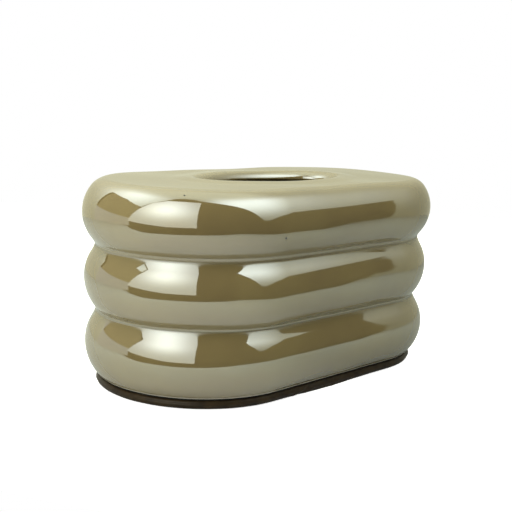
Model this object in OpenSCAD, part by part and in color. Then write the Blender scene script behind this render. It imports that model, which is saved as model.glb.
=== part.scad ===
// Tissue box cover: a one-piece cast ceramic shell with three stacked bulges and an oval
// opening in its flat top. It stands loose on a thin base board wrapped in leatherette and
// lifts straight up to take a soft pack of tissues. All sizes are in millimetres. The origin
// is on the table under the middle of the base, X runs along the cover and Z is up.

/* [Ceramic cover] */
// Straight length between the centres of the two round ends
straight_l = 105.5; // [60:0.5:160]
// Width across the top bulge, which is the widest part of the cover
top_bulge_w = 142; // [130:0.5:156]
// How far the middle bulge's side is set in from the top bulge's
middle_set_in = 1; // [0:0.1:3]
// How far the bottom bulge's side is set in from the top bulge's
bottom_set_in = 1.6; // [0:0.1:3]
// Radius of the top bulge's side, seen in section
top_bulge_r = 24; // [21:0.5:30]
// Radius of the middle and bottom bulges, seen in section
bulge_r = 28; // [24:0.5:36]
// Radius of the shoulder between the top bulge and the flat top
shoulder_r = 12; // [9:0.5:14]
// Height from the foot up to the widest line of the bottom bulge
foot_to_bottom_bulge = 19; // [15:0.5:22]
// Height from the widest line of the bottom bulge to that of the middle one
bottom_to_middle_bulge = 38.3; // [34:0.1:42]
// Height from the widest line of the middle bulge to that of the top one
middle_to_top_bulge = 37.3; // [34:0.1:40]
// Height from the widest line of the top bulge up to the flat top
top_bulge_to_top = 19.1; // [16:0.1:21]
// Thickness of the cast wall
wall_t = 4.5; // [3:0.5:6]
// Radius at the bottom of the groove under the middle bulge
lower_groove_r = 2.5; // [1:0.1:4]
// Radius at the bottom of the wider groove over the middle bulge
upper_groove_r = 5.5; // [3:0.5:7]
// Chamfer on the two edges of the foot
foot_chamfer = 0.6; // [0.3:0.1:1]

/* [Opening for the tissues] */
// Clear length of the oval opening
opening_l = 100.6; // [80:0.2:120]
// Clear width of the oval opening
opening_w = 57.6; // [40:0.2:66]
// Radius of the opening's two end arcs
opening_end_r = 19; // [14:0.5:20]
// Radius of the round lip that runs along the opening
lip_r = 2.75; // [2.6:0.05:3.2]
// How far the lip stands above the flat top
lip_rise = 0.75; // [0.4:0.05:1]

/* [Base] */
// Thickness of the base board
board_t = 3.4; // [2:0.1:6]
// Thickness of the leatherette round the board
wrap_t = 0.8; // [0.5:0.1:1.2]
// How far the rounded edge of the base stands out past the ceramic foot
base_overhang = 0.85; // [0.2:0.05:2]
// Radius of the base's rounded edge, seen in section
base_edge_r = 3.2; // [3:0.1:5]
// Width of the leatherette that is turned under the board
wrap_under_w = 14; // [8:0.5:24]
// Thickness of the black foam strip that the ceramic stands on
gasket_t = 1; // [0.5:0.1:2]
// How far the foam strip is set back from the outer edge of the ceramic foot
gasket_setback = 1; // [0.5:0.1:2]
// Thickness of the board that keeps the cover in place
locating_t = 6; // [3:0.5:10]
// Clearance between the locating board and the inside of the ceramic
locating_gap = 0.8; // [0.5:0.1:2]
// Thickness of the felt under the base
under_felt_t = 1.1; // [1:0.1:2]
// How far the felt stands below the leatherette
under_felt_proud = 0.3; // [0.1:0.05:0.6]
// Thickness of the felt on the locating board
lining_t = 1; // [0.5:0.1:2]
// How far the felt on the locating board is set back from the board's edge
lining_setback = 1.5; // [0.5:0.1:4]

/* [Hidden] */
$fn = 144;

// How far a cut runs past the surface that it goes through
overrun = 1;
// Two arcs that blend into each other cross by this much, which keeps their meeting sharp
blend_lap = 0.02;
// How far the bars of the lip run into each other
lip_joint = 0.5;

// Heights of the base, from the table up
wrap_bottom_h = under_felt_proud;
board_bottom_h = wrap_bottom_h + wrap_t;
board_top_h = board_bottom_h + board_t;
wrap_top_h = board_top_h + wrap_t;
foot_h = wrap_top_h + gasket_t;
locating_top_h = board_top_h + locating_t;
lining_top_h = locating_top_h + lining_t;

// Heights of the ceramic
bottom_bulge_h = foot_h + foot_to_bottom_bulge;
middle_bulge_h = bottom_bulge_h + bottom_to_middle_bulge;
top_bulge_h = middle_bulge_h + middle_to_top_bulge;
top_h = top_bulge_h + top_bulge_to_top;

// Centres of the bulges' arcs, seen in section: distance from the spine, and height
bottom_bulge_c = [top_bulge_w / 2 - bottom_set_in - bulge_r, bottom_bulge_h];
middle_bulge_c = [top_bulge_w / 2 - middle_set_in - bulge_r, middle_bulge_h];
top_bulge_c = [top_bulge_w / 2 - top_bulge_r, top_bulge_h];
// The shoulder's arc touches the flat top, and the top bulge from inside
shoulder_h = top_h - shoulder_r;
shoulder_out = sqrt(pow(top_bulge_r - shoulder_r, 2) - pow(shoulder_h - top_bulge_h, 2));
shoulder_c = [top_bulge_c[0] + shoulder_out, shoulder_h];
shoulder_angle = atan2(shoulder_h - top_bulge_h, shoulder_out);

// The point outside the line from centre a to centre b that lies ra from a and rb from b
function meeting(a, ra, b, rb) =
    let (d = norm(b - a), along = (ra * ra - rb * rb + d * d) / (2 * d), u = (b - a) / d)
    a + along * u + sqrt(ra * ra - along * along) * [u[1], -u[0]];

lower_groove = meeting(bottom_bulge_c, bulge_r, middle_bulge_c, bulge_r);
upper_groove = meeting(middle_bulge_c, bulge_r, top_bulge_c, top_bulge_r);
// Half-width of the straight part of the inside, which is also the ceramic's mouth
mouth_r = min(lower_groove[0], upper_groove[0]) - wall_t;
// Half-width of the ceramic foot at its lower face
foot_r = bottom_bulge_c[0] + sqrt(bulge_r * bulge_r - foot_to_bottom_bulge * foot_to_bottom_bulge);
half_length = straight_l / 2;

// Half-widths of the base's pieces
base_r = foot_r + base_overhang;
base_mid_h = (wrap_bottom_h + wrap_top_h) / 2;
locating_r = mouth_r - locating_gap;
gasket_r = foot_r - gasket_setback;
lining_r = locating_r - lining_setback;
under_felt_r = base_r - wrap_under_w;

// The oval opening is four arcs: two at the ends, and two wide ones along the sides
end_c = opening_l / 2 - opening_end_r;
side_in = opening_w / 2 - opening_end_r;
side_c = (end_c * end_c - side_in * side_in) / (2 * side_in);
side_r = side_c + opening_w / 2;
end_angle = atan2(side_c, end_c);
lip_h = top_h + lip_rise - lip_r;

// Carries a section round the long plan: a half turn at each end and a straight run between
module along_plan() {
    for (side = [-1, 1])
        translate([side * half_length, 0, 0])
            rotate([0, 0, -side * 90])
                rotate_extrude(angle = 180)
                    children();
    rotate([90, 0, 90])
        linear_extrude(height = straight_l, center = true)
            union() {
                children();
                mirror([1, 0])
                    children();
            }
}

// Half of a plate's section, from the spine out to half-width r
module plate_section(r, low, high) {
    translate([0, low])
        square([r, high - low]);
}

// Rounds the groove between two bulges that are centred at a and b, by radius groove_r
module groove_fill(a, ra, b, rb, groove_r) {
    centre = meeting(a, ra + groove_r - blend_lap, b, rb + groove_r - blend_lap);
    from_a = a + (centre - a) * ra / (ra + groove_r);
    from_b = b + (centre - b) * rb / (rb + groove_r);
    inner = [meeting(a, ra, b, rb)[0] - groove_r, centre[1]];
    difference() {
        polygon([inner, from_a, centre, from_b]);
        translate(centre)
            circle(r = groove_r);
    }
}

// Half of the ceramic's outline in section, drawn in by a wall thickness
module bulged_section(inset, low) {
    reach = top_bulge_r + overrun;
    ray = top_bulge_c + reach * [cos(shoulder_angle), sin(shoulder_angle)];
    intersection() {
        plate_section(top_bulge_w, low, top_h - inset);
        union() {
            plate_section(mouth_r + wall_t - inset, low, top_bulge_h);
            translate(bottom_bulge_c)
                circle(r = bulge_r - inset);
            translate(middle_bulge_c)
                circle(r = bulge_r - inset);
            intersection() {
                translate(top_bulge_c)
                    circle(r = top_bulge_r - inset);
                polygon([top_bulge_c, ray, [top_bulge_c[0] + reach, ray[1]],
                    [top_bulge_c[0] + reach, middle_bulge_h], [top_bulge_c[0], middle_bulge_h]]);
            }
            translate(shoulder_c)
                circle(r = shoulder_r + blend_lap - inset);
            plate_section(shoulder_c[0], middle_bulge_h, top_h);
        }
    }
}

// Section of the cast wall, from the foot to the middle of the flat top
module wall_section() {
    difference() {
        union() {
            bulged_section(0, foot_h);
            groove_fill(bottom_bulge_c, bulge_r, middle_bulge_c, bulge_r, lower_groove_r);
            groove_fill(middle_bulge_c, bulge_r, top_bulge_c, top_bulge_r, upper_groove_r);
        }
        bulged_section(wall_t, foot_h - overrun);
        for (edge = [mouth_r, foot_r])
            translate([edge, foot_h])
                rotate(45)
                    square(foot_chamfer * sqrt(2), center = true);
    }
}

// Plan of the oval opening, widened all round
module opening_plan(grow) {
    wide = 2 * (side_r + grow);
    union() {
        intersection() {
            translate([0, side_c])
                circle(r = side_r + grow, $fn = 360);
            translate([0, -side_c])
                circle(r = side_r + grow, $fn = 360);
            square([2 * (side_r + grow) * cos(end_angle), wide], center = true);
        }
        for (side = [-1, 1])
            translate([side * end_c, 0])
                circle(r = opening_end_r + grow + blend_lap);
    }
}

// A round bar of radius bar_r that follows one arc of the opening for half a sweep each way
module lip_bar(centre, arc_r, bar_r, middle, half_sweep) {
    translate([centre[0], centre[1], lip_h])
        rotate([0, 0, middle - half_sweep])
            rotate_extrude(angle = 2 * half_sweep, $fn = 240)
                translate([arc_r + lip_r, 0])
                    circle(r = bar_r, $fn = 48);
}

// The end bars run a little way inside the side bars, which are a hair thicker
module lip() {
    joint_angle = lip_joint / (opening_end_r + lip_r) * 180 / PI;
    for (side = [-1, 1]) {
        lip_bar([side * end_c, 0], opening_end_r, lip_r, 90 - 90 * side, end_angle + joint_angle);
        lip_bar([0, -side * side_c], side_r, lip_r + blend_lap, 90 * side, 90 - end_angle);
    }
}

// Cast, pearl-glazed shell
module ceramic_cover() {
    color([0.72, 0.68, 0.54])
        union() {
            difference() {
                along_plan()
                    wall_section();
                translate([0, 0, top_h - wall_t - overrun])
                    linear_extrude(height = wall_t + 2 * overrun)
                        opening_plan(lip_r);
            }
            lip();
        }
}

// Thin foam strip under the ceramic foot
module seat_gasket() {
    color([0.07, 0.07, 0.07])
        along_plan()
            difference() {
                plate_section(gasket_r, wrap_top_h, foot_h);
                plate_section(locating_r, wrap_top_h - overrun, foot_h + overrun);
            }
}

// Half of the base's section with its rounded edge, drawn in by the leatherette
module base_section(inset) {
    intersection() {
        plate_section(base_r, wrap_bottom_h + inset, wrap_top_h - inset);
        union() {
            plate_section(base_r - base_edge_r, wrap_bottom_h, wrap_top_h);
            translate([base_r - base_edge_r, base_mid_h])
                circle(r = base_edge_r - inset);
        }
    }
}

module base_board() {
    color([0.55, 0.42, 0.30])
        along_plan()
            base_section(wrap_t);
}

// Leatherette glued round the board's edge, and turned in above and below
module base_wrap() {
    color([0.20, 0.15, 0.12])
        along_plan()
            difference() {
                base_section(0);
                base_section(wrap_t);
                plate_section(under_felt_r, wrap_bottom_h - overrun, base_mid_h);
                plate_section(locating_r, base_mid_h, wrap_top_h + overrun);
            }
}

// Board glued on the base, which fits inside the ceramic's mouth and keeps it in place
module locating_board() {
    color([0.62, 0.49, 0.35])
        along_plan()
            plate_section(locating_r, board_top_h, locating_top_h);
}

module lining_felt() {
    color([0.16, 0.13, 0.11])
        along_plan()
            plate_section(lining_r, locating_top_h, lining_top_h);
}

module underside_felt() {
    color([0.10, 0.10, 0.10])
        along_plan()
            plate_section(under_felt_r, board_bottom_h - under_felt_t, board_bottom_h);
}

ceramic_cover();
seat_gasket();
base_board();
base_wrap();
locating_board();
lining_felt();
underside_felt();
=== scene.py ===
# %% [markdown]
# # A ceramic tissue box cover
#
# The object is a cover for a soft pack of tissues: a slip-cast ceramic shell with three bulges,
# one above the other, under a pearl lustre glaze. It stands on a thin board that is wrapped in
# dark brown leatherette, and it lifts off that board to take a new pack.
#
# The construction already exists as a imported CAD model. This script loads it as a fixed frame
# and builds the looks around it. Lengths are written in millimetres and turned to metres where
# a mesh or a pattern is made.

import math

import bmesh
import bpy
import numpy as np
from mathutils import Matrix, Vector


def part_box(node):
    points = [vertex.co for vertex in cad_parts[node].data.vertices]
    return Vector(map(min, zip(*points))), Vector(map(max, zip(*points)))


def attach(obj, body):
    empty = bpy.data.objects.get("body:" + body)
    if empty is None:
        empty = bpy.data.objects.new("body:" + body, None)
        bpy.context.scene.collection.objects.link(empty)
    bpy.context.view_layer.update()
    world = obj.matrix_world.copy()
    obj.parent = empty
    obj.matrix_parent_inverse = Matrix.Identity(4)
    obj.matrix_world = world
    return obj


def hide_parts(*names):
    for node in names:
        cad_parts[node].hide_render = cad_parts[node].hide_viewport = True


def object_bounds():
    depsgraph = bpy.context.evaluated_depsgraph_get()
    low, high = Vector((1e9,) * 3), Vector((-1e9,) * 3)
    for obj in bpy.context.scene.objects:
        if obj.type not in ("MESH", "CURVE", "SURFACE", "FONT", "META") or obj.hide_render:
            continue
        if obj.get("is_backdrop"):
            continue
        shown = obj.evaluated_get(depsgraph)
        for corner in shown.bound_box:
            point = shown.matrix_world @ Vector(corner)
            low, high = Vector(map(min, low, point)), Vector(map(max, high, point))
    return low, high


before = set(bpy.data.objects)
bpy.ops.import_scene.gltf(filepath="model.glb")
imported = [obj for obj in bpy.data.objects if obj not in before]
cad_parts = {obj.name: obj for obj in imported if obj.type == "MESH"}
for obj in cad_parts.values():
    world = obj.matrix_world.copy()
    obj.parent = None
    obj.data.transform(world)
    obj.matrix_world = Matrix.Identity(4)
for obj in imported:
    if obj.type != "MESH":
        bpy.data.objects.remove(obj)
cad_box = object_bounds()

MM = 0.001


def in_mm(box):
    """Lowest and highest corner of a box, turned from metres to millimetres."""
    return tuple(np.array(corner) / MM for corner in box)


print("CAD box in mm:", *(np.round(corner, 2) for corner in in_mm(cad_box)))
print("pieces in the frame:", sorted(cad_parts))

# %% [markdown]
# ## The camera
#
# The camera comes first, because every later choice is judged through it. It was fitted to the
# outline of the object in the photograph: it looks at the cover's round end from a low angle, a
# little to the left of the corner, so both the end and one long side show. Two angles give the
# direction that it looks from, and with a distance they give its place.

# %% Place the camera
PICTURE_SIDE = 512  # pixels, both ways
CAMERA_AZIMUTH = -46.27  # degrees; 0 looks along +Y
CAMERA_ELEVATION = 10.39  # degrees above the horizon
CAMERA_ROLL = 2.08  # degrees
CAMERA_DISTANCE = 611.5  # mm from the point that it was aimed at
AIM_HEIGHT = 59.7  # mm above the table
FOCAL_PIXELS = 964.0  # focal length in pixels of the photograph
MIDDLE_PIXEL = (264.97, 271.70)  # where the lens axis meets the photograph


def camera_axes(azimuth, elevation, roll):
    """Right, up and backward unit vectors of a camera at those angles, in degrees."""
    az, el, turn = np.radians([azimuth, elevation, roll])
    back = np.array([np.sin(az) * np.cos(el), -np.cos(az) * np.cos(el), np.sin(el)])
    level = np.array([np.cos(az), np.sin(az), 0.0])
    above = np.cross(back, level)
    right = np.cos(turn) * level + np.sin(turn) * above
    return right, np.cross(back, right), back


right, up, back = camera_axes(CAMERA_AZIMUTH, CAMERA_ELEVATION, CAMERA_ROLL)
camera_place = np.array([0.0, 0.0, AIM_HEIGHT]) + back * CAMERA_DISTANCE
lens = bpy.data.cameras.new("photo_lens")
lens.lens = FOCAL_PIXELS / PICTURE_SIDE * lens.sensor_width
lens.shift_x = (PICTURE_SIDE / 2 - MIDDLE_PIXEL[0]) / PICTURE_SIDE
lens.shift_y = (MIDDLE_PIXEL[1] - PICTURE_SIDE / 2) / PICTURE_SIDE
camera = bpy.data.objects.new("photo_camera", lens)
turned = Matrix(np.column_stack([right, up, back]).tolist()).to_4x4()
camera.matrix_world = Matrix.Translation(Vector(camera_place * MM)) @ turned
bpy.context.scene.collection.objects.link(camera)
bpy.context.scene.camera = camera
print("camera at", np.round(camera_place, 1), "mm with a lens of", round(lens.lens, 1), "mm")

# %% [markdown]
# ## Surfaces as grids
#
# Every new piece here is a grid of points: one direction goes round the cover, the other
# follows a section. Worked out with numpy, a grid is a formula on whole arrays. The same few
# functions turn any such grid into a mesh, wrapped in the ways in which the surface closes.

# %% Turn a grid of points into a piece
def grid_faces(rows, columns, closed_rows, closed_columns=True):
    """Four-cornered faces between neighbouring points; a closed way wraps to its beginning."""
    row, column = np.mgrid[:rows - (not closed_rows), :columns - (not closed_columns)]
    below, beside = (row + 1) % rows, (column + 1) % columns
    corners = ((row, column), (row, beside), (below, beside), (below, column))
    return np.stack([r * columns + c for r, c in corners], axis=-1).reshape(-1, 4)


def enclosed_volume(points, faces):
    """Sum of the signed volumes between the origin and each triangle; positive if outward."""
    first, second, third, fourth = (points[faces[:, k]] for k in range(4))
    halves = np.cross(second, third) * first + np.cross(third, fourth) * first
    return float(halves.sum() / 6)


def new_object(name, flat, faces, attributes=None):
    """An object from a list of points in millimetres and the faces between them.

    Each attribute is an array with a number for every point."""
    mesh = bpy.data.meshes.new(name)
    mesh.from_pydata((flat * MM).tolist(), [], faces.tolist())
    for key, values in (attributes or {}).items():
        layer = mesh.attributes.new(key, "FLOAT", "POINT")
        layer.data.foreach_set("value", np.asarray(values, np.float32).ravel())
    piece = bpy.data.objects.new(name, mesh)
    bpy.context.scene.collection.objects.link(piece)
    return piece


def make_piece(name, points, closed_rows=True, attributes=None):
    """A smooth-shaded object from an array of rows x columns x 3, its faces turned outwards."""
    flat = points.reshape(-1, 3)
    faces = grid_faces(*points.shape[:2], closed_rows)
    if enclosed_volume(flat, faces) < 0:
        faces = faces[:, ::-1]
    piece = new_object(name, flat, faces, attributes)
    piece.data.polygons.foreach_set("use_smooth", np.ones(len(faces), dtype=bool))
    piece.data.validate()
    volume = abs(enclosed_volume(flat, faces)) / 1000
    print(f"{name}: {len(flat)} points, {2 * len(faces)} triangles, {volume:.1f} cubic cm")
    return piece


def stand_in(piece, body, node):
    """The piece moves with a body and takes the place of a CAD node, which it hides."""
    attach(piece, body)
    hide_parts(node)


# %% [markdown]
# ## The way round the cover
#
# Seen from above, the cover is a straight run with a half turn at each end. Each column of a
# grid stands at one place of that plan: it has a foot on the spine, the line between the two
# end centres, and a direction that points outwards. A section is a list of points, each a
# half-width and a height, and it is carried round by adding the half-width along that direction.

# %% Walk round the plan
END_COLUMNS = 128  # columns in each half turn
SIDE_COLUMNS = 64  # columns along each straight side

shell_low, shell_high = in_mm(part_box("ceramic_cover"))
half_width = shell_high[1]  # at the widest bulge
spine = shell_high[0] - shell_high[1]  # half of the straight length
foot_height = shell_low[2]

half_turn = np.linspace(-90, 90, END_COLUMNS, endpoint=False)
one_side = np.linspace(1, -1, SIDE_COLUMNS, endpoint=False)
at_end, on_side = np.ones(END_COLUMNS), np.ones(SIDE_COLUMNS)
column_spine = spine * np.concatenate([at_end, one_side, -at_end, -one_side])
column_angle = np.radians(np.concatenate([
    half_turn, 90 * on_side, half_turn + 180, 270 * on_side]))
COLUMNS = len(column_angle)
outward_x, outward_y = np.cos(column_angle), np.sin(column_angle)


def carried_round(section):
    """Points of a section on every column: spine point + half-width x outward direction."""
    half_widths, heights = section[:, :1], section[:, 1:]
    x = column_spine + half_widths * outward_x
    return np.stack([x, half_widths * outward_y, np.broadcast_to(heights, x.shape)], axis=-1)


def arc(centre, radius, start, end, count):
    """Points of a circular arc in a section, between two angles in degrees."""
    angle = np.radians(np.linspace(start, end, count))
    return np.array(centre) + radius * np.column_stack([np.cos(angle), np.sin(angle)])


def on_circle(centre, radius, degrees):
    """Point of a circle at an angle above the horizontal."""
    return arc(centre, radius, degrees, degrees, 1)[0]


def squarer(wave, power):
    """sign(w) |w|^power: below 1, it makes a circle's sine or cosine into a squarer form's."""
    return np.sign(wave) * np.abs(wave) ** power


print("half-width", round(half_width, 2), "mm, half of the straight length", round(spine, 2), "mm")

# %% [markdown]
# ## The ceramic shell
#
# On the real cover, slip was poured in a plaster mould, which gives an even wall, soft grooves
# and a lip that turns down round the opening. In section, the outside is a chain of arcs: three
# bulges, the top one with a smaller radius and a round shoulder. From a certain slope on, a bulge
# turns over into a gently hollow flank, then comes the tight fillet at the bottom of the groove,
# and a short straight flank that runs up to the next bulge. Each of them touches the next, so the
# glaze shows unbroken reflections, and the chain is worked out exactly. The hollow flank mirrors
# the studio a second time, the other way up: those are the pointed bright shapes under a groove.

# %% The outside of the shell in section
BULGE_R, TOP_BULGE_R, SHOULDER_R = 28.0, 24.0, 12.0
BULGE_UPPER_R = 25.0  # the two lower bulges turn in faster above their widest line
FLANK_START = {"lower": 30.0, "upper": 31.0}  # degrees from upright, where the hollow flank begins
FLANK_END = {"lower": 25.0, "upper": 25.0}  # and where it runs into the fillet
FLANK_R = {"lower": 70.0, "upper": 44.0}  # radius of the hollow flank
FLANK_ABOVE = {"lower": 38.0, "upper": 36.0}  # degrees from upright, of the straight flank above
WALL = 4.5  # thickness, even all over
FOOT_CUT = 1.2  # degrees of the bottom bulge that the rounded foot takes away
SET_IN = {"bottom": 1.6, "middle": 1.0}  # of each bulge's side from the top bulge's
LIP_RISE = 0.75  # of the lip above the flat top
FOOT_TO_BOTTOM, BOTTOM_TO_MIDDLE, MIDDLE_TO_TOP = 19.0, 38.3, 37.3

flat_height = shell_high[2] - LIP_RISE
bottom_height = foot_height + FOOT_TO_BOTTOM
middle_height = bottom_height + BOTTOM_TO_MIDDLE
top_height = middle_height + MIDDLE_TO_TOP
bottom_centre = np.array([half_width - SET_IN["bottom"] - BULGE_R, bottom_height])
middle_centre = np.array([half_width - SET_IN["middle"] - BULGE_R, middle_height])
top_centre = np.array([half_width - TOP_BULGE_R, top_height])
shoulder_height = flat_height - SHOULDER_R
shoulder_up = shoulder_height - top_height
shoulder_out = math.sqrt((TOP_BULGE_R - SHOULDER_R) ** 2 - shoulder_up ** 2)
shoulder_centre = top_centre + [shoulder_out, shoulder_up]
shoulder_start = math.degrees(math.atan2(shoulder_up, shoulder_out))


def hollow(start, radius, lean, lean_after, count):
    """Hollow arc whose lean goes from a to b: start + r (cos a - cos b, sin a - sin b)."""
    a, b = math.radians(lean), np.radians(np.linspace(lean, lean_after, count))
    return start + radius * np.column_stack([math.cos(a) - np.cos(b), math.sin(a) - np.sin(b)])


def groove(low_centre, low_r, high_centre, high_r, name):
    """Section points from the lower bulge's end to the upper one's start, and the groove's height.

    The way from one bulge to the other is a sum of steps. The fillet's radius and the upper
    flank's length each enter it in proportion, so two linear equations give them."""
    lean, lean_after, above = FLANK_START[name], FLANK_END[name], FLANK_ABOVE[name]
    start, end = on_circle(low_centre, low_r, lean), on_circle(high_centre, high_r, -above)
    flank = hollow(start, FLANK_R[name], lean, lean_after, 12)
    per_radius = hollow(np.zeros(2), 1.0, lean_after, -above, 2)[-1]
    per_length = np.array([math.sin(math.radians(above)), math.cos(math.radians(above))])
    radius, length = np.linalg.solve(np.column_stack([per_radius, per_length]), end - flank[-1])
    bottom = hollow(flank[-1], radius, lean_after, -above, 14)
    shares = np.linspace(0, 1, 5)[1:-1, None]
    print(f"{name} groove: fillet of {radius:.2f} mm, upper flank {length:.2f} mm,",
          f"bottom {bottom[:, 0].min():.2f} mm from the spine")
    points = np.concatenate([flank[1:], bottom[1:], bottom[-1] + (end - bottom[-1]) * shares])
    return points, bottom[bottom[:, 0].argmin(), 1]


faster = np.array([BULGE_R - BULGE_UPPER_R, 0.0])
lower_groove, lower_groove_height = groove(bottom_centre + faster, BULGE_UPPER_R,
                                           middle_centre, BULGE_R, "lower")
upper_groove, upper_groove_height = groove(middle_centre + faster, BULGE_UPPER_R,
                                           top_centre, TOP_BULGE_R, "upper")
foot_angle = math.degrees(math.asin(-FOOT_TO_BOTTOM / BULGE_R))

outside = np.concatenate([
    arc(bottom_centre, BULGE_R, foot_angle + FOOT_CUT, 0, 18),
    arc(bottom_centre + faster, BULGE_UPPER_R, 0, FLANK_START["lower"], 12)[1:],
    lower_groove,
    arc(middle_centre, BULGE_R, -FLANK_ABOVE["lower"], 0, 14),
    arc(middle_centre + faster, BULGE_UPPER_R, 0, FLANK_START["upper"], 12)[1:],
    upper_groove,
    arc(top_centre, TOP_BULGE_R, -FLANK_ABOVE["upper"], shoulder_start, 22),
    arc(shoulder_centre, SHOULDER_R, shoulder_start, 90, 18)[1:],
])
print("outside of the shell:", len(outside), "points; widest at", round(outside[:, 0].max(), 2))

# %% [markdown]
# The opening is an oval of four arcs, two tight ones at the ends and two wide ones along the
# sides. The grid runs up the wall and on over the flat top to this oval, so each column needs
# its own point on it. Walking both outlines at the same share of their length keeps the faces
# even. The lip turns down into the opening with a wide round above and a small one below.

# %% The oval opening, column by column
OPENING_L, OPENING_W, OPENING_END_R = 100.6, 57.6, 19.0
LIP_R, LIP_UNDER_R = 6.0, 1.2  # radii of the lip above and below, seen in section
LIP_TURN = 165.0  # degrees, where the one radius gives way to the other

end_centre = OPENING_L / 2 - OPENING_END_R
side_in = OPENING_W / 2 - OPENING_END_R
side_centre = (end_centre ** 2 - side_in ** 2) / (2 * side_in)
side_radius = side_centre + OPENING_W / 2
end_sweep = math.atan2(side_centre, end_centre)

quarter = half_width * math.pi / 2 + spine
end_walk, side_walk = half_width * np.radians(half_turn), -spine * one_side
walked = np.concatenate([end_walk, quarter + side_walk, 2 * quarter + end_walk,
                         3 * quarter + side_walk]) / quarter  # 0 at a tip, 4 once round


def oval(grow, height):
    """A row of the grid on the opening's oval, widened all round by grow."""
    turned_share = np.abs((walked + 1) % 2 - 1)  # 0 at a tip, 1 at a side's middle
    share_of_end = OPENING_END_R * end_sweep
    share_of_end /= share_of_end + side_radius * (math.pi / 2 - end_sweep)
    on_end = turned_share < share_of_end
    angle = np.interp(turned_share, [0, share_of_end, 1], [0, end_sweep, math.pi / 2])
    radius = np.where(on_end, OPENING_END_R, side_radius) + grow
    x = radius * np.cos(angle) + np.where(on_end, end_centre, 0)
    y = radius * np.sin(angle) - np.where(on_end, 0, side_centre)
    x_side, y_side = (np.where((walked + ahead) % 4 < 2, 1, -1) for ahead in (1, 0))
    return np.stack([x * x_side, y * y_side, np.full(COLUMNS, height)], axis=-1)


def between(first_row, last_row, count):
    """Rows evenly spread between two rows."""
    shares = np.linspace(0, 1, count + 2)[1:-1, None, None]
    return first_row * (1 - shares) + last_row * shares


print("opening in mm, long and wide:", *np.ptp(oval(0.0, 0.0), axis=0)[:2].round(2))

# %% [markdown]
# The inside follows the outside at the wall's thickness, except that it runs straight past the
# grooves, where slip fills the mould's sharp ridge. That is the larger of two half-widths at
# each height, the straight one and the bulge's, with the edge between them rounded.

# %% The inside of the shell in section
MOUTH_IN = 57.6  # half-width of the straight stretches inside
SOFTENING = 1.6  # of the edge between a straight stretch and a bulge
FOOT_ROUND = 0.9  # radius of the foot's two roundings
INNER_ROWS = 42


def soft_maximum(a, b):
    """The larger of a and b, with the corner between them rounded."""
    return (a + b + np.sqrt((a - b) ** 2 + SOFTENING ** 2)) / 2


def bulge_reach(centre, radius, heights):
    """Half-width of a circle about centre at each height, or the centre's own outside it."""
    return centre[0] + np.sqrt(np.maximum(radius ** 2 - (heights - centre[1]) ** 2, 0))


inner_end = on_circle(shoulder_centre, SHOULDER_R - WALL, shoulder_start)
foot_middle = foot_height + FOOT_ROUND
inner_heights = np.linspace(foot_middle, inner_end[1], INNER_ROWS)
inner_reach = MOUTH_IN - SOFTENING / 4
bulges = ((bottom_centre, BULGE_R), (middle_centre, BULGE_R), (top_centre, TOP_BULGE_R))
for centre, radius in bulges:
    inner_reach = soft_maximum(inner_reach, bulge_reach(centre, radius - WALL, inner_heights))
inner_reach[-1] = inner_end[0]
inside = np.concatenate([np.column_stack([inner_reach, inner_heights]),
                         arc(shoulder_centre, SHOULDER_R - WALL, shoulder_start, 90, 9)[1:]])
print("inside of the shell:", len(inside), "points")

# %% [markdown]
# Now the rows are put one after the other: up the outside, across the top, which rises a little
# to the lip, round the lip, back under the top, down the inside and round the foot to where they
# began. The grid closes both ways, like a ring, so the shell is one solid with a true wall.
#
# A cast piece is never quite even. As the clay shrinks, the wall wanders by a few tenths of a
# millimetre, and a mirror-like glaze shows that as bent reflections. A few long waves along the
# surface's normal give it, and two slight warps on the near side bend the reflections' ends.

# %% Assemble the shell
LIP_REACH = 13.0  # how far the flat top rises towards the lip
TOP_ROWS, RISE_ROWS, UNDER_ROWS = 7, 12, 7
FOOT_END = 340.0  # degrees, where the foot's rounding meets the bottom bulge

outer_rows = carried_round(outside)
lip_height = flat_height + LIP_RISE - LIP_R
rise_rows = np.array([
    oval(LIP_R + LIP_REACH * (1 - share), flat_height + LIP_RISE * share ** 2 * (3 - 2 * share))
    for share in np.linspace(0, 1, RISE_ROWS)])
top_rows = between(outer_rows[-1], rise_rows[0], TOP_ROWS)
lip_section = arc((LIP_R, lip_height), LIP_R, 90, LIP_TURN, 18)[1:]
under_centre = on_circle((LIP_R, lip_height), LIP_R - LIP_UNDER_R, LIP_TURN)
lip_section = np.concatenate([lip_section, arc(under_centre, LIP_UNDER_R, LIP_TURN, 270, 9)[1:]])
lip_rows = np.array([oval(grow, height) for grow, height in lip_section])
inner_rows = carried_round(inside[::-1])
under_rows = between(lip_rows[-1], inner_rows[0], UNDER_ROWS)
foot_rows = carried_round(np.concatenate([
    arc((inside[0, 0] + FOOT_ROUND, foot_middle), FOOT_ROUND, 180, 270, 5)[1:],
    arc((outside[0, 0] - FOOT_ROUND, foot_middle), FOOT_ROUND, 270, FOOT_END, 5)[:-1]]))
shell = np.concatenate([outer_rows, top_rows, rise_rows, lip_rows, under_rows, inner_rows,
                        foot_rows])
print("shell grid:", shell.shape[0], "rows x", shell.shape[1], "columns")

# %% Let the casting wander
WANDER = 0.14  # mm, size of each wave
WAVE_LENGTHS = np.array([61.0, 83.0, 118.0])  # mm
WAVE_WAYS = np.array([[0.9, 0.3, 0.55], [-0.35, 0.9, 0.7], [0.6, -0.75, 0.2]])  # x, y and z
WAVE_PHASES = np.array([0.4, 2.1, 4.6])
WARPS = ((54.0, 38.0, 0.25), (54.0, 60.0, -0.1))  # mm, x, height and size of each warp
WARP_LENGTH, WARP_HEIGHT = 25.0, 14.0  # mm, how far each one reaches
STEADY_FOOT = 6.0  # mm above the foot over which the wandering sets in


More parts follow.
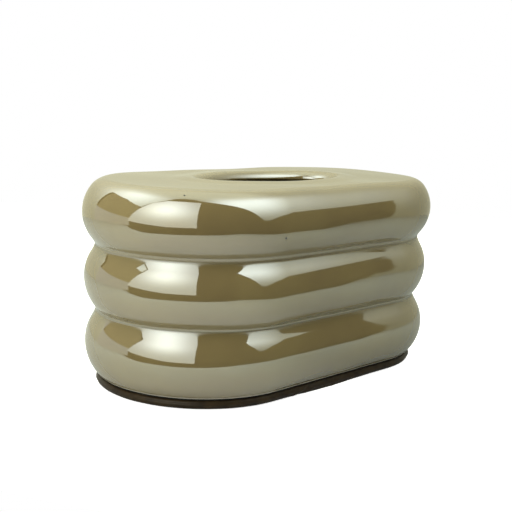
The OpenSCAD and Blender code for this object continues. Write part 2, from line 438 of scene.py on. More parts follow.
def grid_normals(points):
    """Unit normals of a grid that closes both ways, from the differences of its neighbours."""
    down = np.roll(points, -1, axis=0) - np.roll(points, 1, axis=0)
    across = np.roll(points, -1, axis=1) - np.roll(points, 1, axis=1)
    normals = np.cross(across, down)
    return normals / np.maximum(np.linalg.norm(normals, axis=-1, keepdims=True), 1e-9)


def wandering(points):
    """Sum of long sine waves that cross the piece in different directions."""
    return np.sin(points @ WAVE_WAYS.T * (2 * np.pi / WAVE_LENGTHS) + WAVE_PHASES).sum(axis=-1)


def warped(points):
    """Sum of the warps: size x exp(-(dx / length)^2 - (dz / height)^2), on the near side alone."""
    x, y, z = np.moveaxis(points, -1, 0)
    humps = (size * np.exp(-((x - at_x) / WARP_LENGTH) ** 2 - ((z - at_z) / WARP_HEIGHT) ** 2)
             for at_x, at_z, size in WARPS)
    return (y < 0) * sum(humps)


normals = grid_normals(shell)
outward = np.sign((normals[:8] * (shell[:8] - shell.mean(axis=(0, 1)))).sum())
off_foot = np.clip((shell[..., 2] - foot_height) / STEADY_FOOT, 0, 1)
off_true = off_foot * (WANDER * wandering(shell) + warped(shell))
shell = shell + normals * outward * off_true[..., None]
print("the wall wanders by up to", round(float(np.abs(off_true).max()), 2), "mm")

# %% Store where the glaze is thick, thin or missing, and where shade is painted in the grooves
POOL_AND_SHADE_REACH = 3.0  # mm above and below a groove
CLAY_UP_TO, CLAY_FADE = 1.1, 0.5  # mm above the foot, and the way over which it ends
RUN_LENGTH = 26.0  # mm down a bulge over which the glaze runs thicker

height = shell[..., 2]
is_outer = (np.arange(len(shell)) < len(outside))[:, None]
# grooves: the glaze gathers there, and the darker colour that this gives is also painted shade
pool_and_painted_shade = is_outer * sum(np.exp(-((height - groove_height) / POOL_AND_SHADE_REACH) ** 2)
                        for groove_height in (lower_groove_height, upper_groove_height))
bare_clay = np.clip((foot_height + CLAY_UP_TO - height) / CLAY_FADE, 0, 1)
from_bulge = height[..., None] - np.array([bottom_height, middle_height, top_height])
nearest = np.argmin(np.abs(from_bulge), axis=-1)[..., None]
from_nearest = np.take_along_axis(from_bulge, nearest, axis=-1)[..., 0]
run_down = np.clip(0.5 - from_nearest / RUN_LENGTH, 0, 1)
ceramic = make_piece("ceramic_shell", shell, attributes={
    "glaze_pool_and_painted_shade": pool_and_painted_shade, "bare_clay": bare_clay, "run_down": run_down})
stand_in(ceramic, "cover", "ceramic_cover")

# %% [markdown]
# ## The leatherette round the base
#
# A strip of coated fabric is glued over the board's edge and turned in above and below. Its
# section is a thin skin with a full, slightly flattened edge, and a faint ridge at mid-height.
# Round the ends the turned-in part has more edge than room, so it puckers into small pleats
# underneath. Near the middle of the camera's side the strip's ends meet: its lower half hangs a
# little there, and a few folds cross it.

# %% The wrap as a closed skin
SKIN = 0.8  # mm, thickness of the leatherette
EDGE_DEPTH = 3.2  # how far the rounded edge reaches in
EDGE_FULLNESS = 3.0  # 2 is an ellipse, more is squarer
TURNED_UNDER, TURNED_OVER = 14.0, 6.0
RIDGE, RIDGE_WIDTH = 0.45, 0.4

base_low, base_high = in_mm(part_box("base_wrap"))
base_reach = base_high[1]
base_middle = (base_low[2] + base_high[2]) / 2
half_height = (base_high[2] - base_low[2]) / 2


def wrap_section(inset, count):
    """Section from the top's inner edge round to the bottom's inner edge."""
    angle = np.radians(np.linspace(90, -90, count))
    start, half = base_reach - EDGE_DEPTH, half_height - inset
    r = start + (EDGE_DEPTH - inset) * squarer(np.cos(angle), 2 / EDGE_FULLNESS)
    up = half * squarer(np.sin(angle), 2 / EDGE_FULLNESS)
    top_r = np.linspace(base_reach - TURNED_OVER, start, 5)[:-1]
    low_r = np.linspace(start, base_reach - TURNED_UNDER, 15)[1:]
    up = np.concatenate([np.full(len(top_r), half), up, np.full(len(low_r), -half)])
    return np.column_stack([np.concatenate([top_r, r, low_r]), base_middle + up])


skin, inner_skin = wrap_section(0.0, 37), wrap_section(SKIN, 21)
skin_r, skin_z = skin.T
on_edge = skin_r > base_reach - EDGE_DEPTH
skin[:, 0] += RIDGE * np.exp(-((skin_z - base_middle) / RIDGE_WIDTH) ** 2) * on_edge - RIDGE
print("wrap section:", len(skin) + len(inner_skin), "points")

# %% Pucker and wrinkle the leatherette
PLEATS, PLEAT_DEPTH = 46, 0.22  # in each half turn, on the underside, and mm
PLEAT_FADE = 4.0  # mm inwards from the edge over which they grow
SLACK, DRAWN_IN = 0.05, 0.12  # mm, of the long ripples, and of the strip by its stretch
RIPPLES = ((5, 0.3), (11, 1.9), (17, 4.0), (29, 2.2))  # waves once round the cover, and phase
SEAM_X, SEAM_REACH, SAG = -5.0, 24.0, 0.9  # mm; the loose place where the strip's ends meet
SAG_START, SAG_GROWTH = 0.6, 2.0  # mm above mid-height, and the way down over which it grows
FOLDS = ((0.4, -27.0), (-0.3, -22.0), (0.35, -16.0), (0.25, 6.0))  # size, and mm from the seam
FOLD_SLANT, FOLD_WIDTH = 2.5, 1.6  # mm sideways for each mm of height, and mm
FRONT = -0.9  # outward y below which a column faces the camera's side
CLEARANCE = 0.05  # mm, kept between the wrap and the table

round_share = walked / 4  # 0 to 1 once round the cover
in_turn = np.abs(outward_x) ** 0.5
underneath = np.clip((base_reach - EDGE_DEPTH - skin_r) / PLEAT_FADE, 0, 1) * (skin_z < base_middle)
pleat_wave = 0.5 + 0.5 * np.cos(column_angle * 2 * PLEATS)
pleats = PLEAT_DEPTH * underneath[:, None] * in_turn * pleat_wave
edge_part = np.clip((skin_r - (base_reach - EDGE_DEPTH - 1)) / EDGE_DEPTH, 0, 1)
slack = SLACK * sum(np.sin(2 * np.pi * waves * round_share + phase) for waves, phase in RIPPLES)
outward_way = np.stack([outward_x, outward_y, np.zeros(COLUMNS)], axis=-1)
at_front = outward_y < FRONT
from_seam = column_spine + base_reach * outward_x - SEAM_X
lower_part = np.clip((base_middle + SAG_START - skin_z) / SAG_GROWTH, 0, 1)[:, None]
sag = SAG * lower_part * np.exp(-(from_seam / SEAM_REACH) ** 2) * at_front
along_fold = from_seam - FOLD_SLANT * (skin_z[:, None] - base_middle)
folds = sum(size * np.exp(-((along_fold - place) / FOLD_WIDTH) ** 2) for size, place in FOLDS)
push = edge_part[:, None] * (slack + folds * at_front - DRAWN_IN)
outer_skin = carried_round(skin) + push[..., None] * outward_way
outer_skin[..., 2] = np.maximum(outer_skin[..., 2] + pleats - sag, CLEARANCE)
wrap = make_piece("leatherette_wrap", np.concatenate([outer_skin, carried_round(inner_skin[::-1])]))
stand_in(wrap, "base", "base_wrap")
print("the leatherette hangs by up to", round(float(sag.max()), 2), "mm")

# %% [markdown]
# ## Felts and foam strip
#
# The two felts are soft, cut sheets. Each is a plate whose section goes from the spine out over
# a rounded edge and back, and whose faces rise and fall by a few hundredths of a millimetre. The
# columns of the two sides meet on the spine, and are merged there so that the plate is closed.
# The felts lie flat, at the size that they are cut to. The foam strip carries the shell's weight.

# %% The two felts
PLATE_STEPS = 40
FLUFF = 0.02  # mm, of the felts' uneven nap
NAP_FADE = 3.0  # mm from the spine over which the nap sets in


def plate_section(reach, low, high, rounding):
    """Section from the spine along the top, round the edge and back below."""
    flat = np.linspace(0, reach - rounding, PLATE_STEPS)
    upper = np.column_stack([flat, np.full(PLATE_STEPS, high)])
    lower = np.column_stack([flat[::-1], np.full(PLATE_STEPS, low)])
    turn_in = np.concatenate([arc((reach - rounding, high - rounding), rounding, 90, 0, 6)[1:],
                              arc((reach - rounding, low + rounding), rounding, 0, -90, 6)[:-1]])
    return np.concatenate([upper, turn_in, lower])


def close_spine(piece):
    """Merges the points in which the columns of opposite sides meet, and turns faces outwards."""
    surface = bmesh.new()
    surface.from_mesh(piece.data)
    bmesh.ops.remove_doubles(surface, verts=surface.verts, dist=1e-6)
    bmesh.ops.recalc_face_normals(surface, faces=surface.faces)
    surface.to_mesh(piece.data)
    surface.free()


def felt_plate(name, node, rounding, seed):
    """A felt in the place of a node: its plan and heights, rounded edges, an uneven nap."""
    low, high = in_mm(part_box(node))
    section = plate_section(high[1], low[2], high[2], rounding)
    points = carried_round(section)
    nap = np.random.default_rng(seed).normal(0, FLUFF, points.shape[:2])
    nap *= np.clip(section[:, 0] / NAP_FADE, 0, 1)[:, None]
    points[..., 2] -= np.abs(nap) * np.sign(points[..., 2] - (low[2] + high[2]) / 2)
    piece = make_piece(name, points, closed_rows=False)
    close_spine(piece)
    stand_in(piece, "base", node)
    return piece


lining = felt_plate("lining_sheet", "lining_felt", rounding=0.35, seed=11)
underside = felt_plate("underside_sheet", "underside_felt", rounding=0.25, seed=12)

# %% The foam strip
STRIP_POINTS = 28
SIDE_POWER, FACE_POWER = 0.3, 0.5  # 1 is an ellipse, less is squarer
SIDE_SWELL = 0.4  # mm that the pressed sides swell out


def strip_section(inner, outer, low, high):
    """A closed section with full, rounded sides, for a strip of foam under load."""
    angle = np.radians(np.linspace(0, 360, STRIP_POINTS, endpoint=False))
    r = (inner + outer) / 2 + SIDE_SWELL * np.cos(angle)
    r += ((outer - inner) / 2 - SIDE_SWELL) * squarer(np.cos(angle), SIDE_POWER)
    z = (low + high) / 2 + (high - low) / 2 * squarer(np.sin(angle), FACE_POWER)
    return np.column_stack([r, z])


foam_low, foam_high = in_mm(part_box("seat_gasket"))
board_reach = in_mm(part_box("locating_board"))[1][1]
foam_section = strip_section(board_reach, foam_high[1], foam_low[2], foam_high[2])
foam = make_piece("foam_strip", carried_round(foam_section))
stand_in(foam, "base", "seat_gasket")


# %% [markdown]
# ## Materials
#
# Colours are written as they look on a screen, in hex, and one function turns them to the
# linear light that the renderer works in. Another adds a node, sets it and links it, and a few
# short ones do so for the nodes that come back most.

# %% Helpers for materials
def linear(code):
    """Linear red, green, blue and alpha of an sRGB hex colour such as #796B41."""
    levels = np.array([int(code[k:k + 2], 16) for k in (1, 3, 5)]) / 255
    light = np.where(levels <= 0.04045, levels / 12.92, ((levels + 0.055) / 1.055) ** 2.4)
    return (*light.tolist(), 1.0)


def new_material(name):
    """An empty node material."""
    material = bpy.data.materials.new(name)
    material.use_nodes = True
    material.node_tree.nodes.clear()
    return material


def add(material, kind, inputs=None, out=0, **settings):
    """Adds a node and returns one output of it; an input is a value, or an output to link."""
    tree = material.node_tree
    node = tree.nodes.new("ShaderNode" + kind)
    for key, value in settings.items():
        setattr(node, key, value)
    for key, value in (inputs or {}).items():
        if isinstance(value, bpy.types.NodeSocket):
            tree.links.new(value, node.inputs[key])
        else:
            node.inputs[key].default_value = value
    return node.outputs[out] if node.outputs else None


def on_piece(material):
    """Coordinates that stay with the piece when it moves."""
    return add(material, "TexCoord", out="Object")


def stored(material, name):
    """The number that the piece's points carry under that name."""
    return add(material, "Attribute", out="Fac", attribute_name=name)


def noise(material, place, size, detail, more=None):
    """A cloudy pattern from 0 to 1, with features of that size in millimetres."""
    return add(material, "TexNoise", {"Vector": place, "Scale": 1 / (size * MM), "Detail": detail,
                                      **(more or {})})


def cells(material, place, size, **settings):
    """Distance to the nearest of many points, which lie about size millimetres apart."""
    return add(material, "TexVoronoi", {"Vector": place, "Scale": 1 / (size * MM)}, **settings)


def ramp(material, source, low, high):
    """A colour ramp fed by source, between two stops of (position, hex colour)."""
    colour = add(material, "ValToRGB", {"Fac": source})
    for element, (position, code) in zip(colour.node.color_ramp.elements, (low, high)):
        element.position = position
        element.color = linear(code)
    return colour


def remap(material, value, low, high, from_low=0.0, from_high=1.0):
    """Low to high, as the value goes from from_low to from_high."""
    return add(material, "MapRange", {"Value": value, "From Min": from_low, "From Max": from_high,
                                      "To Min": low, "To Max": high})


def mix(material, share, first, second):
    """The first colour where share is 0, and the second where it is 1."""
    return add(material, "MixRGB", {"Fac": share, "Color1": first, "Color2": second})


def bump(material, height, strength, depth):
    """Normals bent as by a relief of that depth in millimetres."""
    return add(material, "Bump", {"Height": height, "Strength": strength, "Distance": depth * MM})


def finish_surface(material, shader):
    """Links a shader to the material's output."""
    add(material, "OutputMaterial", {"Surface": shader})
    return material


def coated(material, colour, roughness, normal, more=None):
    """Finishes a material with one principled shader."""
    return finish_surface(material, add(material, "BsdfPrincipled", {
        "Base Color": colour, "Roughness": roughness, "Normal": normal, **(more or {})}))


def dress(piece, material):
    """Gives a piece one material all over."""
    piece.data.materials.clear()
    piece.data.materials.append(material)


# %% [markdown]
# ### Pearl lustre glaze
#
# The shell carries a clear glaze over a khaki slip, fired with a lustre: a film of metal oxide
# far thinner than a hair. Its high refractive index mirrors about five times as much light as
# glass does, which gives the white, pearly reflections, and it tints them faintly. So the base
# is a diffuse khaki, the gloss is sharp, the IOR is the oxide's, and a thin film adds the play
# of colour. In the grooves the glaze gathers and turns satin, and its deeper colour there is
# painted shade as well as thicker glaze. The foot ring is unglazed clay, and two specks of iron
# show as dark dots.

# %% Make the glaze
GLAZE_IOR, FILM_IOR = 2.7, 2.6
FILM_THIN, FILM_THICK = 82.0, 130.0  # nanometres
GLOSSY, SATIN, CLAY_ROUGH, SPECK_ROUGH = 0.035, 0.32, 0.8, 0.6
SPECKS = (((-57.5, -70.0, 94.7), 0.9), ((-103.8, -39.5, 117.1), 0.7))  # mm, place and radius
SPECK_CORE = 0.6  # share of its radius in which a speck is at its darkest


def pearl_glaze():
    """Glazed ceramic: sharp gloss of high index over khaki slip, bare clay at the foot."""
    material = new_material("pearl_lustre_glaze")
    place = on_piece(material)
    pool_and_shade, bare = stored(material, "glaze_pool_and_painted_shade"), stored(material, "bare_clay")
    khaki = ramp(material, noise(material, place, 38, 3.0, {"Roughness": 0.5}),
                 (0.35, "#736440"), (0.65, "#7B6C45"))
    # painted shade: the grooves turn darker, partly for shade and partly for the thicker glaze
    colour = mix(material, pool_and_shade, khaki, linear("#6C5F38"))
    colour = mix(material, bare, colour, linear("#CFC4B2"))
    drawn_out = add(material, "Mapping", {"Vector": place, "Scale": (1, 1, 2.5)})
    film = add(material, "Math", {0: noise(material, drawn_out, 30, 2.0), 1: 0.7,
                                  2: stored(material, "run_down")}, operation="MULTIPLY_ADD")
    film_depth = remap(material, film, FILM_THIN, FILM_THICK, 0.35, 1.2)
    narrow = add(material, "Math", {0: pool_and_shade, 1: 3.0}, operation="POWER")
    rough = remap(material, bare, remap(material, narrow, GLOSSY, SATIN), CLAY_ROUGH)
    gloss = 0.5
    for centre, radius in SPECKS:
        away = add(material, "VectorMath", {0: place, 1: [c * MM for c in centre]}, out="Value",
                   operation="DISTANCE")
        speck = remap(material, away, 0.0, 1.0, radius * MM, SPECK_CORE * radius * MM)
        colour = mix(material, speck, colour, linear("#2A2218"))
        rough = remap(material, speck, rough, SPECK_ROUGH)
        gloss = remap(material, speck, gloss, 0.0)
        film_depth = remap(material, speck, film_depth, 0.0)
    orange_peel = bump(material, noise(material, place, 9, 1.0), 0.35, 0.03)
    return coated(material, colour, rough, orange_peel, {
        "IOR": GLAZE_IOR, "Specular IOR Level": gloss, "Thin Film Thickness": film_depth,
        "Thin Film IOR": FILM_IOR})


dress(ceramic, pearl_glaze())

# %% [markdown]
# ### Leatherette, felt, foam and board
#
# The wrap is a polyurethane coating with an embossed grain of about 0.9 mm, which breaks up its
# dull gloss. Needle felt is a tangle of fine fibres, drawn coarser here so that it shows, with a
# little sheen. The foam is black and matt with fine cells. The two boards are fibreboard, in
# layers that show as fine lines along the edge.

# %% Make the other materials
def leatherette():
    """Polyurethane coated fabric: dark brown, embossed grain, dull gloss."""
    material = new_material("brown_leatherette")
    place = on_piece(material)
    grain = cells(material, place, 0.9, feature="SMOOTH_F1")
    creases = noise(material, place, 6, 5.0)
    colour = ramp(material, creases, (0.3, "#20160A"), (0.7, "#352815"))
    height = add(material, "Math", {0: grain, 1: creases}, operation="ADD")
    return coated(material, colour, remap(material, grain, 0.36, 0.5),
                  bump(material, height, 0.4, 0.08), {"IOR": 1.48, "Specular IOR Level": 0.22})


def needle_felt(name, dark, pale):
    """Needle felt: a tangle of fibres with a little sheen."""
    material = new_material(name)
    place = on_piece(material)
    tangle = noise(material, place, 0.7, 4.0, {"Roughness": 0.7, "Distortion": 2.5})
    clumps = noise(material, place, 7, 2.0)
    both = add(material, "Math", {0: tangle, 1: clumps}, operation="MULTIPLY")
    return coated(material, ramp(material, both, (0.12, dark), (0.42, pale)), 0.95,
                  bump(material, tangle, 0.8, 0.25), {"Sheen Weight": 0.08, "Sheen Roughness": 0.5})


def black_foam():
    """Closed-cell foam: black, matt, with cells of about half a millimetre."""
    material = new_material("closed_cell_foam")
    bubbles = cells(material, on_piece(material), 0.45)
    return coated(material, ramp(material, bubbles, (0.1, "#0C0C0C"), (0.8, "#1C1C1B")), 0.85,
                  bump(material, bubbles, 0.6, 0.1))


def fibreboard():
    """Medium density fibreboard: fine fibres pressed flat, in layers along the edge."""
    material = new_material("fibreboard")
    flattened = add(material, "Mapping", {"Vector": on_piece(material), "Scale": (1, 1, 4)})
    fibres = noise(material, flattened, 1.1, 5.0, {"Roughness": 0.7})
    return coated(material, ramp(material, fibres, (0.25, "#8A6A49"), (0.75, "#B08E67")), 0.75,
                  bump(material, fibres, 0.5, 0.08))


dress(wrap, leatherette())
dress(lining, needle_felt("brown_needle_felt", "#1F1813", "#3B2F26"))
dress(underside, needle_felt("black_needle_felt", "#0E0E0E", "#262524"))
dress(foam, black_foam())
board_material = fibreboard()
for name in ("base_board", "locating_board"):
    dress(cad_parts[name], board_material)

# %% [markdown]
# ## The studio
#
# A mirror-like glaze shows its surroundings more than its own colour, so the studio is part of
# the likeness. The reflections in the photograph were followed back to where they come from,
# and they fit a tent of pale cloth about 650 mm from the cover. It is open towards the camera,
# where a dim room shows in it. In the opening, to the left of the camera, hangs a large soft
# lamp, and two more lamps glow through the cloth, on the left and on the right.
#
# So each part of the studio is a curved card on one dome round the cover. It lies between a
# lower and an upper edge, given in degrees, to the right of the camera and above the horizon.
# The camera sees none of the cards, only a white floor and background.

# %% Cards on a dome
CAMERA_SIDE = CAMERA_AZIMUTH - 90  # compass direction from the object towards the camera
DOME_R, DOME_MIDDLE = 650.0, 60.0  # mm, and its middle's height
TABLE_LINE = math.degrees(math.asin(-DOME_MIDDLE / DOME_R))


def on_dome(azimuth, elevation, radius=DOME_R):
    """Point of the dome: radius x (cos el cos az, cos el sin az, sin el), az from the camera."""
    az, el = np.radians(CAMERA_SIDE + azimuth), np.radians(elevation)
    return np.stack([radius * np.cos(el) * np.cos(az), radius * np.cos(el) * np.sin(az),
                     DOME_MIDDLE + radius * np.sin(el)], axis=-1)


def smooth(value, low, high):
    """0 below low, 1 above high, and 3t^2 - 2t^3 in between."""
    t = np.clip((value - low) / (high - low), 0, 1)
    return t * t * (3 - 2 * t)


def edge(corners, azimuth):
    """Elevation or distance of an edge at each azimuth, straight between its corners."""
    return np.interp(azimuth, *np.transpose(corners))


def stage_mesh(name, points, material, attributes=None, camera=False):
    """A card from a grid of points, with numbers stored on them; it belongs to the stage."""
    faces = grid_faces(*points.shape[:2], closed_rows=False, closed_columns=False)
    piece = new_object(name, points.reshape(-1, 3), faces, attributes)
    piece.data.materials.append(material)
    piece.visible_camera = camera
    piece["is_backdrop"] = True
    return piece


def dome_card(name, azimuths, lower, upper, glow, material, rows=24, radius=DOME_R, lamp=None):
    """A card between two edges, whose light is glow(azimuth, elevation) at each point.

    lamp gives the part of that light which comes straight from a lamp, and keeps its colour."""
    share = np.linspace(0, 1, rows)[:, None]
    elevation = edge(lower, azimuths) * (1 - share) + edge(upper, azimuths) * share
    azimuth = np.broadcast_to(azimuths, elevation.shape)
    light = glow(azimuth, elevation)
    from_lamp = lamp(azimuth, elevation) / light if lamp else np.ones(light.shape)
    print(f"{name}: {light.min():.2f} to {light.max():.2f} times white")
    return stage_mesh(name, on_dome(azimuth, elevation, radius), material,
                      {"glow": light, "from_lamp": from_lamp})


def glowing(name, lamp_code, cloth_code="#FFFFFF"):
    """Even light as strong as the card's glow attribute, between a cloth's and a lamp's colour."""
    material = new_material(name)
    colour = mix(material, stored(material, "from_lamp"), linear(cloth_code), linear(lamp_code))
    return finish_surface(material, add(material, "Emission", {
        "Color": colour, "Strength": stored(material, "glow")}))


# %% [markdown]
# ### The tent and its lamps
#
# The cloth's glow is a formula of the two angles: a level that changes slowly round the tent,
# plus one smooth hump for each lamp. The lower edge of the cloth is the arch of the opening. A
# hem narrows the opening on the right, with an edge that stands upright below and leans out
# above. On the left a low hem stands on the table, and a wooden panel shows between it and the
# arch.

# %% The tent's light
LEFT_LAMP, LEFT_PLACE = 2.9, (-82, 49)  # times white, and degrees aside and up
LEFT_SPREAD, LEFT_FALL = (36, 36), (22, 11)  # degrees to the left and right, and down and up
RIGHT_LAMP, RIGHT_PLACE = 3.4, (60, 53)
RIGHT_SPREAD, RIGHT_FALL = (52, 39), (25, 14)
FLAT_TOPPED = 4  # power of the right lamp's left side; 2 is a bell
NO_FALL = 999  # degrees, for a side on which a hump stays level
TENT_LEFT, TENT_RIGHT, BRIGHT_SIDE = 0.86, 0.33, -120  # its level, and where it is highest
TENT_RISE, RISE_SPAN = 0.55, (8, 50)  # more light higher up, between two elevations
TENT_TOP, TOP_SPAN = 1.7, (56, 74)  # level overhead, reached between two elevations
BACK_DIP, BACK_CORNER, BACK_SPREAD = 0.5, 130, 32  # share of the rise missing at the back


def hump(distance, spread_low, spread_high, power=2):
    """exp(-(d / spread)^power), with one spread on the low side and another on the high one."""
    spread = np.where(distance < 0, spread_low, spread_high)
    return np.exp(-np.abs(distance / spread) ** power)


def turned_from(azimuth, middle):
    """Angle from middle to azimuth, between -180 and 180 degrees."""
    return (azimuth - middle + 180) % 360 - 180


def lamp_glow(azimuth, elevation):
    """One hump of light for each of the two lamps behind the cloth."""
    from_left, from_right = (turned_from(azimuth, place[0]) for place in (LEFT_PLACE, RIGHT_PLACE))
    left = LEFT_LAMP * hump(from_left, *LEFT_SPREAD) * hump(elevation - LEFT_PLACE[1], *LEFT_FALL)
    right = hump(from_right, RIGHT_SPREAD[0], NO_FALL, FLAT_TOPPED)
    right = RIGHT_LAMP * right * hump(from_right, NO_FALL, RIGHT_SPREAD[1])
    return left + right * hump(elevation - RIGHT_PLACE[1], *RIGHT_FALL)


def cloth_glow(azimuth, elevation):
    """A level that swings from left to right and rises overhead, and the two lamps' humps."""
    swing = 0.5 + 0.5 * np.cos(np.radians(azimuth - BRIGHT_SIDE))
    back = hump(turned_from(azimuth, BACK_CORNER), BACK_SPREAD, BACK_SPREAD)
    rise = TENT_RISE * (1 - BACK_DIP * back)
    level = TENT_RIGHT + (TENT_LEFT - TENT_RIGHT) * swing + rise * smooth(elevation, *RISE_SPAN)
    level += (TENT_TOP - level) * smooth(elevation, *TOP_SPAN)
    return level + lamp_glow(azimuth, elevation)


def even(level):
    """The same light all over a card."""
    return lambda azimuth, elevation: np.full(azimuth.shape, level)


# %% The tent
OPENING_LEFT, OPENING_RIGHT = -107.0, 102.0  # degrees
CLOTH_START, ZENITH = OPENING_RIGHT - 360, 89.9
STEP = 0.01  # degrees in which an edge goes straight up
PANEL_LIGHT = 0.5
cloth_low = [(CLOTH_START, TABLE_LINE), (OPENING_LEFT - STEP, TABLE_LINE), (OPENING_LEFT, 36),
             (-80, 36.5), (-58, 30), (-54, 39), (-45, 49.5), (-38, 57), (-30, 61), (-18, 60.5),
             (-6, 57.5), (5, 55.5), (12, 54), (22, 51), (31, 47), (39, 41), (45, 33), (50, 21),
             (53, 13.5), (58, 13), (70, 18.5), (90, 22), (OPENING_RIGHT - STEP, 22.5),
             (OPENING_RIGHT, TABLE_LINE)]
right_hem_edge = [(95.9, TABLE_LINE), (96.2, 0), (96.6, 5), (97, 9), (97.7, 12), (98.6, 15),
                  (100, 19.5), (OPENING_RIGHT, 23)]
left_hem_top = [(OPENING_LEFT, 12), (-63, 7.5)]
panel_top = [(OPENING_LEFT, 36), (-80, 36.5), (-58, 30)]
cloth_azimuths = np.unique(np.concatenate([np.arange(CLOTH_START, OPENING_RIGHT + 0.1, 4.0),
                                           [azimuth for azimuth, _ in cloth_low]]))

tent_cloth = glowing("tent_cloth", "#F8FFFA", "#FDFFE2")
dome_card("tent", cloth_azimuths, cloth_low, [(CLOTH_START, ZENITH), (OPENING_RIGHT, ZENITH)],
          cloth_glow, tent_cloth, lamp=lamp_glow)
dome_card("tent_right_hem", np.linspace(right_hem_edge[0][0], OPENING_RIGHT + 0.5, 56),
          [right_hem_edge[0], (OPENING_RIGHT, TABLE_LINE)], right_hem_edge,
          cloth_glow, tent_cloth, rows=6, radius=DOME_R - 3, lamp=lamp_glow)
dome_card("tent_left_hem", np.linspace(OPENING_LEFT, -63, 12),
          [(OPENING_LEFT, TABLE_LINE), (-63, TABLE_LINE)], left_hem_top,
          even(TENT_LEFT), glowing("hem_cloth", "#FFFFF4"), rows=4)
dome_card("wooden_panel", np.linspace(OPENING_LEFT + 3, -59, 12), left_hem_top, panel_top,
          even(PANEL_LIGHT), glowing("panel_wood", "#FFECB8"), rows=4, radius=DOME_R + 8)

# %% The soft lamp in the opening
SOFTBOX_RIM, SOFTBOX_CORE = 1.5, 3.2  # light at the rim, and what the middle adds to it
SOFTBOX_MIDDLE = (-34, 31)  # degrees aside and up
SOFTBOX_SPREAD, SOFTBOX_FALL = (22, 22), (17, 22)
softbox_low = [(-64, 3), (-60, 1.5), (-30, -3), (-5, -3)]
softbox_top = [(-64, 4), (-58, 26), (-53, 40), (-42, 50.5), (-25, 53), (-5, 53.5)]


def softbox_glow(azimuth, elevation):
    """The rim's level plus a hump in the middle, as a lamp behind a diffuser's cloth gives."""
    core = hump(azimuth - SOFTBOX_MIDDLE[0], *SOFTBOX_SPREAD)
    return SOFTBOX_RIM + SOFTBOX_CORE * core * hump(elevation - SOFTBOX_MIDDLE[1], *SOFTBOX_FALL)


dome_card("softbox", np.linspace(-64, -5, 30), softbox_low, softbox_top, softbox_glow,
          glowing("softbox_cloth", "#FEFFF2"), radius=DOME_R - 5)

# %% [markdown]
# ### The floor
#
# The white sheet under the cover runs on to the tent behind and beside it, but towards the
# camera it droops over the table's edge, about 370 mm from the cover's middle. That edge is the
# line along the lower third of each bulge: pale floor under it, the dim room over it. The sheet
# that the cover mirrors carries painted shade, deepest to the right, while the camera sees it
# bright. A second floor, which only the camera sees, keeps other views white past that edge.

# %% The white sheet
DROOP = 26.0  # mm that the front edge hangs below the table
DROOP_START, DROOP_END, DROOP_POWER = 230.0, 600.0, 1.5  # mm from the middle; 1 is straight
DROOP_SIDES = ((-72, -62), (90, 97))  # degrees between which it sets in and ends
SHADE_SIDES = ((5, 80), (150, 180))  # the same for the part with painted shade
FAR_SPAN = (260, 520)  # mm over which the sheet is lifted to the background's white
RING_POWER = 1.2  # more than 1 puts the rings closer in the middle
sheet_edge = [(-180, 900), (-70, 900), (-62, 520), (-50, 400), (-40, 378), (-20, 364), (0, 364),
              (15, 380), (29, 430), (43, 400), (59, 362), (79, 380), (88, 420), (93, 560),
              (97, 900), (180, 900)]  # degrees, and mm from the middle


def within(azimuth, sides):
    """1 between the two sides and 0 outside them, with a smooth change at each."""
    return smooth(azimuth, *sides[0]) * (1 - smooth(azimuth, *sides[1]))


sheet_azimuths = np.arange(-180.0, 180.1, 3.0)
sheet_reach = edge(sheet_edge, sheet_azimuths)
sheet_r = np.linspace(0, 1, 30)[:, None] ** RING_POWER * sheet_reach
angle = np.radians(CAMERA_SIDE + sheet_azimuths)
droop_end = np.minimum(sheet_reach, DROOP_END)
hanging = np.clip((sheet_r - DROOP_START) / (droop_end - DROOP_START), 0, 1)
sheet_z = -DROOP * within(sheet_azimuths, DROOP_SIDES) * hanging ** DROOP_POWER
sheet = np.stack([sheet_r * np.cos(angle), sheet_r * np.sin(angle), sheet_z], axis=-1)
# painted shade on the sheet, growing to the right
shade = np.broadcast_to(within(sheet_azimuths, SHADE_SIDES), sheet_r.shape)
print("the sheet ends", sheet_reach.min(), "to", sheet_reach.max(), "mm from the middle")

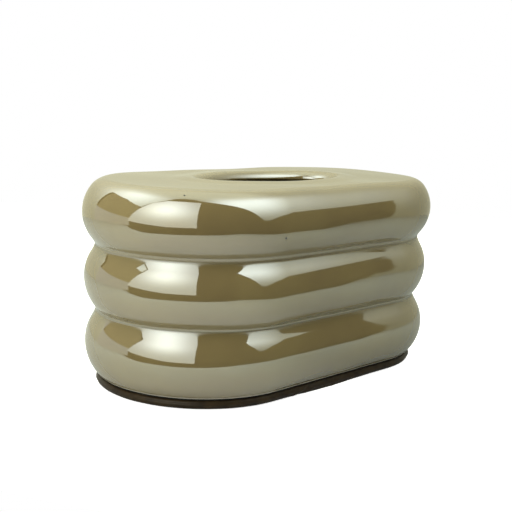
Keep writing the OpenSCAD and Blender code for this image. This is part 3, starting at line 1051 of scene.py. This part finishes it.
# %% The floors
WHITE = (1, 1, 1, 1)
WIDE, WIDE_BELOW = 3000.0, 0.5  # mm, half the second floor's side, and how far it lies lower


def white_paper():
    """Matt paper with painted shade, deepest to the right, where it is mirrored; the camera sees
    white.
    """
    material = new_material("paper_with_painted_shade")
    # painted shade: the mirrored copy is darker than white paper, and darker still to the right
    painted_shade_tone = mix(material, stored(material, "shade"), linear("#CBD1D8"), linear("#ADB3B9"))
    matt = add(material, "BsdfDiffuse", {"Color": painted_shade_tone})
    bright = add(material, "BsdfDiffuse", {"Color": linear("#F2F2F0")})
    lifted = remap(material, stored(material, "far"), 0.8, 1.0)
    lift = add(material, "Emission", {"Color": WHITE, "Strength": lifted})
    lit = add(material, "AddShader", {0: bright, 1: lift})
    seen = add(material, "LightPath", out="Is Camera Ray")
    return finish_surface(material, add(material, "MixShader", {0: seen, 1: matt, 2: lit}))


stage_mesh("white_sheet", sheet, white_paper(), {"shade": shade, "far": smooth(sheet_r, *FAR_SPAN)},
           camera=True)
plain = new_material("white_floor")
finish_surface(plain, add(plain, "Emission", {"Color": WHITE, "Strength": 1.0}))
corners = np.array([[[x * WIDE, y * WIDE, -WIDE_BELOW] for x in (-1, 1)] for y in (-1, 1)])
wide_floor = stage_mesh("wide_floor", corners, plain, camera=True)
for ray in ("diffuse", "glossy", "transmission", "volume_scatter", "shadow"):
    setattr(wide_floor, "visible_" + ray, False)

# %% The background
world = bpy.data.worlds.new("white_studio")
bpy.context.scene.world = world
world.use_nodes = True
world.node_tree.nodes.clear()
room = add(world, "Background", {"Color": linear("#463F3D"), "Strength": 1.0})
white = add(world, "Background", {"Color": WHITE, "Strength": 1.0})
sky = add(world, "MixShader", {0: add(world, "LightPath", out="Is Camera Ray"), 1: room, 2: white})
add(world, "OutputWorld", {"Surface": sky})
bpy.context.scene.view_settings.view_transform = "Standard"

# %% Compare the boxes and finish
visual_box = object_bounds()
for label, cad, visual in zip(("low", "high"), in_mm(cad_box), in_mm(visual_box)):
    print(label, "CAD", np.round(cad, 2), "visual", np.round(visual, 2))
